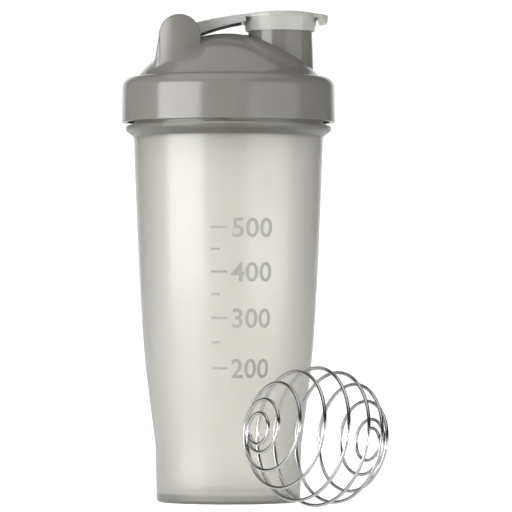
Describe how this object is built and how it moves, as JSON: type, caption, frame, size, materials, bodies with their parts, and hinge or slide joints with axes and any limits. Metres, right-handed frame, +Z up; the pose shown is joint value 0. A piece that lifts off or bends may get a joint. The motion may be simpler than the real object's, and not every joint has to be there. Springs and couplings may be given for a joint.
{
  "type": "shaker bottle",
  "caption": "Tall tapered drinking cup with a domed screw lid, a spout under a hinged flip cap, and a loose wire whisk ball beside it.",
  "frame": {"origin": "centre of the cup's foot, on the surface it stands on", "axes": "+Z up along the cup's axis, +X from the axis towards the spout, +Y to the left of +X, so the whisk ball stands on the -Y side"},
  "size_m": [0.1209, 0.1392, 0.2253],
  "materials": {
    "frosted_cup": "frosted translucent polypropylene",
    "lid_grey": "semi-gloss moulded polypropylene",
    "cap_light_grey": "semi-gloss moulded polypropylene",
    "seal": "matt silicone",
    "wire": "bright drawn stainless wire"
  },
  "bodies": {
    "cup": {"cup": "frosted_cup"},
    "seal": {"lid_seal": "seal"},
    "lid": {"lid": "lid_grey"},
    "flip_cap": {"flip_cap": "cap_light_grey"},
    "whisk_ball": {"whisk_ball": "wire"}
  },
  "joints": [
    {"name": "lid_lift", "type": "slide", "parent": "cup", "child": "seal", "axis": [0, 0, 1], "range_m": [0, 0.0196]},
    {"name": "lid_turn", "type": "hinge", "parent": "seal", "child": "lid", "pos_m": [0, 0, 0.1748], "axis": [0, 0, 1], "range_deg": [0, 1170]},
    {"name": "cap_flip", "type": "hinge", "parent": "lid", "child": "flip_cap", "pos_m": [-0.0223, 0, 0.2137], "axis": [0, -1, 0], "range_deg": [0, 150]},
    {"name": "ball_lift", "type": "slide", "parent": "cup", "child": "whisk_ball", "axis": [0.1912, -0.2836, 0.9397], "range_m": [0, 0.12]}
  ],
  "couplings": [
    {"joint": "lid_lift", "follows": "lid_turn", "m_per_rad": 0.00095493}
  ]
}
